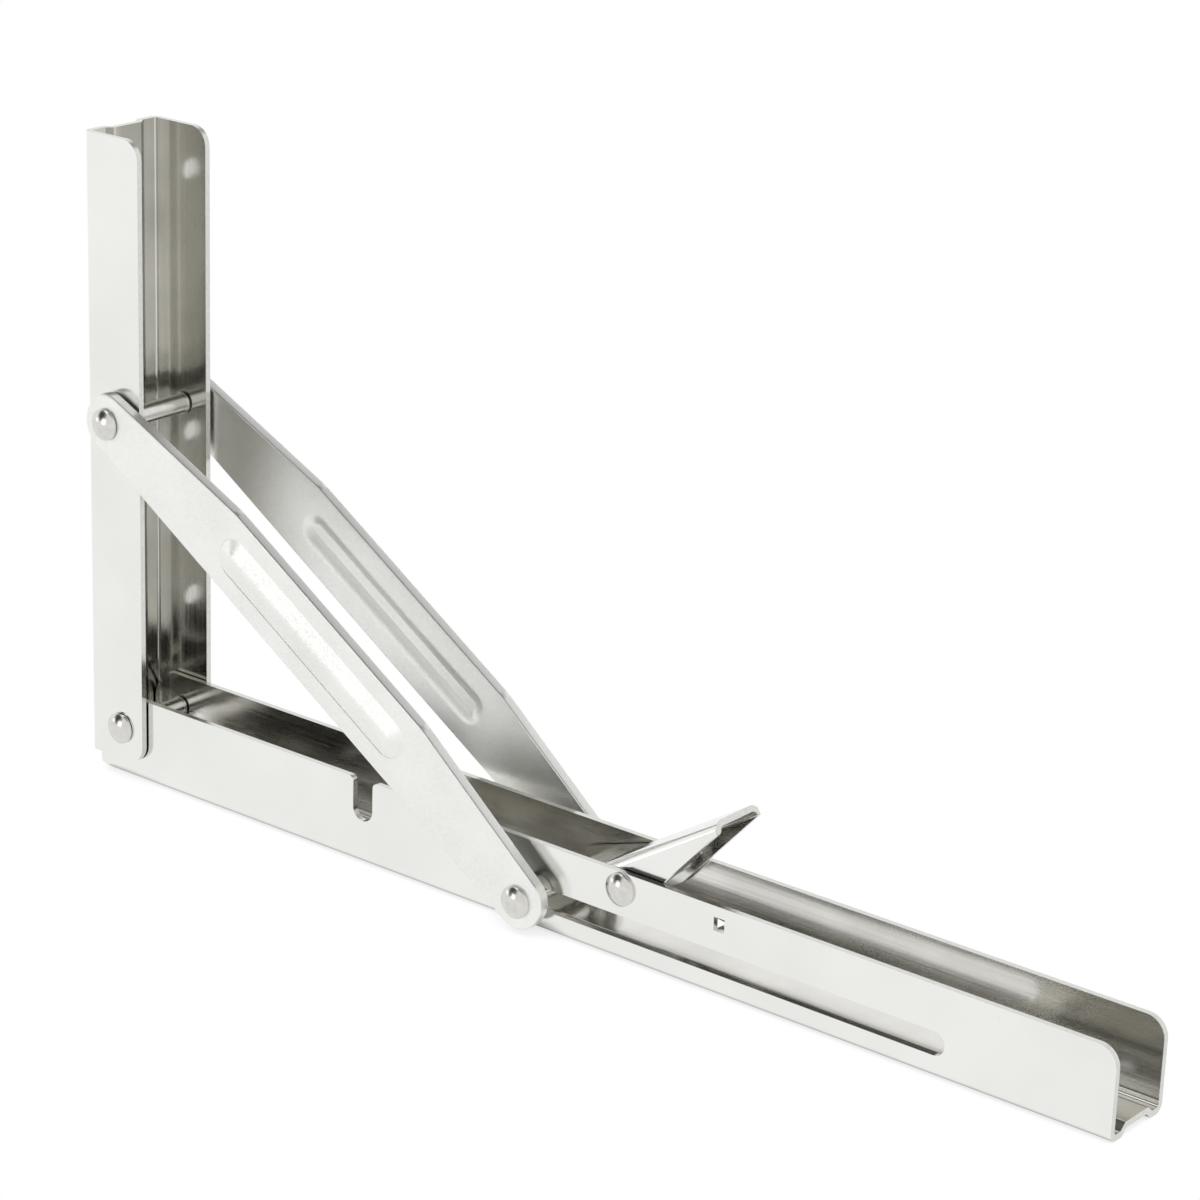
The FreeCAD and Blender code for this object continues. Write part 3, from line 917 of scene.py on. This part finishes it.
class BRACKET_OT_spring(bpy.types.Operator):
    """Wind the lever's torsion spring"""

    bl_idname = "bracket.spring"
    bl_label = "Lever spring"

    def execute(self, context):
        sizes = context.scene.bracket_spring
        colours = context.scene.bracket_finish
        finish = uneven_steel(
            "drawn spring wire",
            colours.wire_pale,
            colours.wire_deep,
            roughness=0.24,
            grain=0.6 * MM,
            depth=0.03 * MM,
            strength=0.1,
        )
        pivot = centre_of("lever_rivet")
        first = math.pi / 2 - sizes.long_leg_dip
        turn = 2 * math.pi * sizes.coil_turns + math.pi + sizes.short_leg_lift + sizes.long_leg_dip
        last = first + turn
        long_run = Vector((math.sin(first), 0, -math.cos(first)))
        short_run = Vector((-math.sin(last), 0, math.cos(last)))
        steps = int(turn / COIL_STEP)
        width = sizes.coil_pitch * turn / (2 * math.pi)
        shape = bmesh.new()
        foot = pivot + Vector((math.cos(first), 0, math.sin(first))) * sizes.coil_radius
        foot.y = -sizes.coil_start
        facing = long_run.to_track_quat("Z", "Y").to_matrix().to_4x4()
        ring = bmesh.ops.create_circle(
            shape,
            segments=WIRE_SIDES,
            radius=sizes.wire_radius,
            matrix=Matrix.Translation(foot) @ facing,
        )
        wire_start = list({edge for vert in ring["verts"] for edge in vert.link_edges})
        coil = bmesh.ops.spin(
            shape,
            geom=wire_start,
            cent=pivot,
            axis=-ALONG_Y,
            angle=turn,
            steps=steps,
            dvec=ALONG_Y * (width / steps),
        )
        wire_end = [item for item in coil["geom_last"] if isinstance(item, bmesh.types.BMEdge)]
        self.leg(shape, wire_start, long_run * (sizes.long_leg / long_run.x))
        self.leg(shape, wire_end, short_run * sizes.short_leg)
        bmesh.ops.remove_doubles(shape, verts=shape.verts, dist=WELD)
        bmesh.ops.recalc_face_normals(shape, faces=shape.faces)
        finished(shape, "lever_spring_wire", [finish], "lever_spring")
        return {"FINISHED"}

    def leg(self, shape, ring, run):
        """Draw a straight leg out of an open end of the coil and close its cut end."""
        made = bmesh.ops.extrude_edge_only(shape, edges=ring)
        verts = [item for item in made["geom"] if isinstance(item, bmesh.types.BMVert)]
        edges = [item for item in made["geom"] if isinstance(item, bmesh.types.BMEdge)]
        bmesh.ops.translate(shape, vec=run, verts=verts)
        rim = [edge for edge in edges if all(vert in verts for vert in edge.verts)]
        bmesh.ops.contextual_create(shape, geom=rim)


class BRACKET_OT_stage(bpy.types.Operator):
    """Lay the white floor, hang the soft lights and set the camera"""

    bl_idname = "bracket.stage"
    bl_label = "Stage"

    def execute(self, context):
        scene = context.scene
        settings = scene.bracket_stage
        floor_reach = 6.0
        floor_gap = 0.1 * MM
        film_width = 36.0
        nearest = 0.05
        farthest = 50.0
        # Each lamp's place, its width and height, and its share of the main light's power.
        lamps = {
            "key": ((-0.55, -0.75, 1.1), (0.5, 0.5), 1.0),
            "fill": ((0.9, 0.5, 0.9), (0.3, 0.3), 0.25),
            "front strip": ((-0.53, -1.05, 0.17), (0.34, 0.36), 0.6),
            "left strip": ((-0.95, -0.53, 0.10), (0.2, 0.1), 0.1),
        }
        shape = bmesh.new()
        bmesh.ops.create_grid(shape, x_segments=1, y_segments=1, size=floor_reach)
        mesh = bpy.data.meshes.new("floor")
        shape.to_mesh(mesh)
        shape.free()
        mesh.materials.append(self.studio_paper(settings.floor_colour))
        floor = bpy.data.objects.new("floor", mesh)
        floor.location.z = -floor_gap
        scene.collection.objects.link(floor)
        self.white_studio(scene)
        for name, (place, size, share) in lamps.items():
            self.soft_light(scene, name, place, size, settings.key_power * share)
        lens = bpy.data.cameras.new("camera")
        lens.sensor_width = film_width
        lens.lens = settings.lens
        lens.clip_start = nearest
        lens.clip_end = farthest
        camera = bpy.data.objects.new("camera", lens)
        turn = Matrix.Rotation(settings.azimuth, 4, "Z")
        tip = Matrix.Rotation(math.pi / 2 - settings.elevation, 4, "X")
        roll = Matrix.Rotation(settings.roll, 4, "Z")
        back = Matrix.Translation((0, 0, settings.distance))
        camera.matrix_world = Matrix.Translation(settings.target) @ turn @ tip @ roll @ back
        scene.collection.objects.link(camera)
        scene.camera = camera
        scene.view_settings.view_transform = "Standard"
        return {"FINISHED"}

    def soft_light(self, scene, name, place, size, power):
        """A soft box aimed at the bracket, out of the camera's sight."""
        aim = Vector((0, 0, 0.05))
        lamp = bpy.data.lights.new(name, "AREA")
        lamp.shape = "RECTANGLE"
        lamp.size, lamp.size_y = size
        lamp.energy = power
        light = bpy.data.objects.new(name, lamp)
        light.visible_camera = False
        light.location = place
        light.rotation_mode = "QUATERNION"
        light.rotation_quaternion = (aim - Vector(place)).to_track_quat("-Z", "Y")
        scene.collection.objects.link(light)

    def white_studio(self, scene):
        """A world that is white to the camera; metal sees it with a dim ceiling and one dark corner."""
        ceiling_light = 0.1
        front_light = 0.88
        corner_light = 0.03
        matt_light = 0.55
        world = bpy.data.worlds.new("white studio")
        world.use_nodes = True
        tree = world.node_tree
        tree.nodes.clear()
        place = add_node(tree, "ShaderNodeTexCoord")
        towards = add_node(
            tree, "ShaderNodeSeparateXYZ", links={"Vector": place.outputs["Generated"]}
        )
        ceiling = add_node(
            tree,
            "ShaderNodeMapRange",
            values={"From Min": 0.62, "From Max": 0.80, "To Min": 1.0, "To Max": ceiling_light},
            links={"Value": towards.outputs["Z"]},
        )
        dark_corner = Vector((-0.58, -0.72, 0.38)).normalized()
        nearness = add_node(
            tree,
            "ShaderNodeVectorMath",
            settings={"operation": "DOT_PRODUCT"},
            values={1: dark_corner},
            links={0: place.outputs["Generated"]},
        )
        corner = add_node(
            tree,
            "ShaderNodeMapRange",
            values={"From Min": 0.90, "From Max": 0.97, "To Min": 1.0, "To Max": corner_light},
            links={"Value": nearness.outputs["Value"]},
        )
        front = add_node(
            tree,
            "ShaderNodeMapRange",
            values={"From Min": -0.95, "From Max": -0.60, "To Min": front_light, "To Max": 1.0},
            links={"Value": towards.outputs["Y"]},
        )
        overhead = add_node(
            tree,
            "ShaderNodeMath",
            settings={"operation": "MULTIPLY"},
            links={0: ceiling.outputs["Result"], 1: front.outputs["Result"]},
        )
        mirrored = add_node(
            tree,
            "ShaderNodeMath",
            settings={"operation": "MULTIPLY"},
            links={0: overhead.outputs["Value"], 1: corner.outputs["Result"]},
        )
        path = add_node(tree, "ShaderNodeLightPath")
        lit = add_node(
            tree,
            "ShaderNodeMix",
            values={NUMBER_A: matt_light},
            links={SHARE: path.outputs["Is Glossy Ray"], NUMBER_B: mirrored.outputs["Value"]},
        )
        seen = add_node(
            tree,
            "ShaderNodeMath",
            settings={"operation": "MAXIMUM"},
            links={0: path.outputs["Is Camera Ray"], 1: path.outputs["Is Transmission Ray"]},
        )
        strength = add_node(
            tree,
            "ShaderNodeMix",
            values={NUMBER_B: 1.0},
            links={SHARE: seen.outputs["Value"], NUMBER_A: lit.outputs[MIXED_NUMBER]},
        )
        sky = add_node(
            tree,
            "ShaderNodeBackground",
            values={"Color": linear("#FFFFFF")},
            links={"Strength": strength.outputs[MIXED_NUMBER]},
        )
        add_node(tree, "ShaderNodeOutputWorld", links={"Surface": sky.outputs["Background"]})
        scene.world = world

    def studio_paper(self, colour):
        """Matt white paper that shows as white, with a shadow only close to what stands on it."""
        shadow_reach = 8 * MM
        fully_lit = 0.55
        seen_shadow = 0.75
        mirrored_shadow = 0.1
        near_light = 0.95
        material, tree = new_material("white studio paper")
        path = add_node(tree, "ShaderNodeLightPath")
        mirrored = add_node(
            tree,
            "ShaderNodeMath",
            settings={"operation": "MAXIMUM"},
            links={0: path.outputs["Is Glossy Ray"], 1: path.outputs["Is Transmission Ray"]},
        )
        seen = add_node(
            tree,
            "ShaderNodeMath",
            settings={"operation": "MAXIMUM"},
            links={0: path.outputs["Is Camera Ray"], 1: mirrored.outputs["Value"]},
        )
        covered = add_node(
            tree,
            "ShaderNodeAmbientOcclusion",
            settings={"samples": 16},
            values={"Distance": shadow_reach},
        )
        darkest = add_node(
            tree,
            "ShaderNodeMapRange",
            values={"To Min": mirrored_shadow, "To Max": seen_shadow},
            links={"Value": path.outputs["Is Camera Ray"]},
        )
        shadow = add_node(
            tree,
            "ShaderNodeMapRange",
            values={"From Min": 0.0, "From Max": fully_lit, "To Max": 1.0},
            links={"Value": covered.outputs["AO"], "To Min": darkest.outputs["Result"]},
        )
        # Painted shade: to mirrored rays the glowing paper is a little darker within about 0.6 m of the
        # bracket.
        place = add_node(tree, "ShaderNodeNewGeometry")
        reach = add_node(
            tree,
            "ShaderNodeVectorMath",
            settings={"operation": "LENGTH"},
            links={0: place.outputs["Position"]},
        )
        farther = add_node(
            tree,
            "ShaderNodeMapRange",
            values={"From Min": 0.52, "From Max": 0.68, "To Min": near_light, "To Max": 1.0},
            links={"Value": reach.outputs["Value"]},
        )
        brightness = add_node(
            tree,
            "ShaderNodeMath",
            settings={"operation": "MAXIMUM"},
            links={0: farther.outputs["Result"], 1: path.outputs["Is Camera Ray"]},
        )
        strength = add_node(
            tree,
            "ShaderNodeMath",
            settings={"operation": "MULTIPLY"},
            links={0: shadow.outputs["Result"], 1: brightness.outputs["Value"]},
        )
        glow = add_node(
            tree,
            "ShaderNodeEmission",
            values={"Color": linear("#FFFFFF")},
            links={"Strength": strength.outputs["Value"]},
        )
        paper = add_node(tree, "ShaderNodeBsdfDiffuse", values={"Color": colour})
        mixed = add_node(
            tree,
            "ShaderNodeMixShader",
            links={0: seen.outputs["Value"], 1: paper.outputs["BSDF"], 2: glow.outputs["Emission"]},
        )
        add_node(tree, "ShaderNodeOutputMaterial", links={"Surface": mixed.outputs["Shader"]})
        return material


class BRACKET_PT_panel(bpy.types.Panel):
    """Lists the bracket's pieces and their settings"""

    bl_idname = "BRACKET_PT_panel"
    bl_label = "Drop leaf bracket"
    bl_space_type = "VIEW_3D"
    bl_region_type = "UI"
    bl_category = "Bracket"

    def draw(self, context):
        for operator in OPERATORS:
            self.layout.operator(operator.bl_idname)
        for name, group in GROUPS.items():
            column = self.layout.box().column()
            column.label(text=group.__doc__)
            for setting in group.__annotations__:
                column.prop(getattr(context.scene, name), setting)


OPERATORS = (
    BRACKET_OT_arms,
    BRACKET_OT_struts,
    BRACKET_OT_rivets,
    BRACKET_OT_slide,
    BRACKET_OT_spring,
    BRACKET_OT_stage,
)
GROUPS = {
    "bracket_sheet": SheetSettings,
    "bracket_strut": StrutSettings,
    "bracket_rivet": RivetSettings,
    "bracket_spring": SpringSettings,
    "bracket_finish": FinishSettings,
    "bracket_stage": StageSettings,
}


def register():
    """Register the settings, the operators and the panel."""
    for name, group in GROUPS.items():
        bpy.utils.register_class(group)
        setattr(bpy.types.Scene, name, bpy.props.PointerProperty(type=group))
    for operator in OPERATORS:
        bpy.utils.register_class(operator)
    bpy.utils.register_class(BRACKET_PT_panel)


def unregister():
    """Remove what register added."""
    bpy.utils.unregister_class(BRACKET_PT_panel)
    for operator in reversed(OPERATORS):
        bpy.utils.unregister_class(operator)
    for name, group in reversed(list(GROUPS.items())):
        delattr(bpy.types.Scene, name)
        bpy.utils.unregister_class(group)


def main():
    """Make every piece and the stage."""
    register()
    bpy.ops.bracket.arms()
    bpy.ops.bracket.struts()
    bpy.ops.bracket.rivets()
    bpy.ops.bracket.slide()
    bpy.ops.bracket.spring()
    bpy.ops.bracket.stage()


if __name__ == "__main__":
    main()
